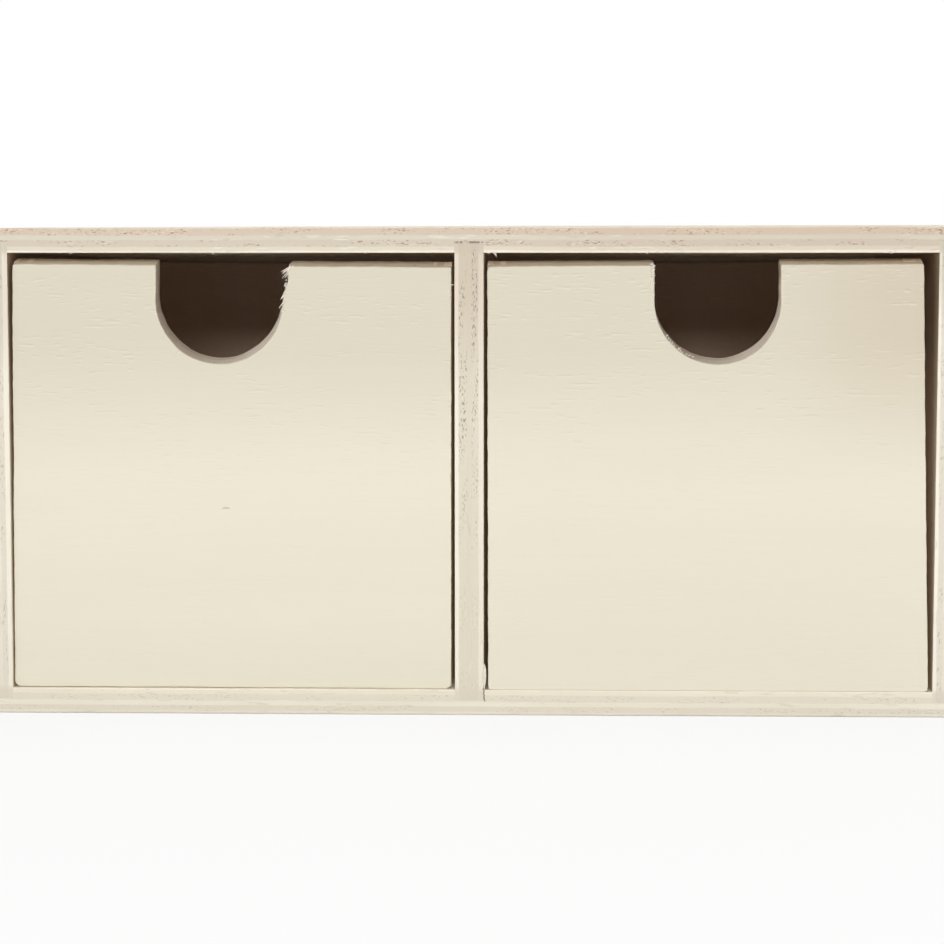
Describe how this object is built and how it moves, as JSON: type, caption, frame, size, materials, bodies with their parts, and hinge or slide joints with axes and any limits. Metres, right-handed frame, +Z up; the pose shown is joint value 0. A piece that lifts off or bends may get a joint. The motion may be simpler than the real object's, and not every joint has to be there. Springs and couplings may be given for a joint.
{
  "type": "chest of drawers",
  "caption": "Small tabletop chest of bare plywood with side by side drawers that slide out, each with a round-bottomed finger notch in the top edge of its flat front.",
  "frame": {"origin": "middle of the footprint, on the surface that the chest stands on", "axes": "+Z up, +X along the front to the right as seen from the front, +Y to the back; the drawers pull out along -Y"},
  "size_m": [0.2084, 0.105, 0.105],
  "materials": {
    "panel_ply": "bare sanded plywood",
    "divider_ply": "bare sanded plywood",
    "front_ply": "bare sanded plywood",
    "wall_ply": "bare sanded plywood",
    "thin_ply": "bare sanded plywood"
  },
  "bodies": {
    "carcass": {"top_panel": "panel_ply", "bottom_panel": "panel_ply", "left_side": "panel_ply", "right_side": "panel_ply", "centre_divider": "divider_ply", "back_panel": "thin_ply"},
    "left_drawer": {"left_drawer_front": "front_ply", "left_drawer_left_side": "wall_ply", "left_drawer_right_side": "wall_ply", "left_drawer_back": "wall_ply", "left_drawer_bottom": "thin_ply"},
    "right_drawer": {"right_drawer_front": "front_ply", "right_drawer_left_side": "wall_ply", "right_drawer_right_side": "wall_ply", "right_drawer_back": "wall_ply", "right_drawer_bottom": "thin_ply"}
  },
  "joints": [
    {"name": "left_drawer_slide", "type": "slide", "parent": "carcass", "child": "left_drawer", "axis": [0, -1, 0], "range_m": [0, 0.09]},
    {"name": "right_drawer_slide", "type": "slide", "parent": "carcass", "child": "right_drawer", "axis": [0, -1, 0], "range_m": [0, 0.09]}
  ]
}
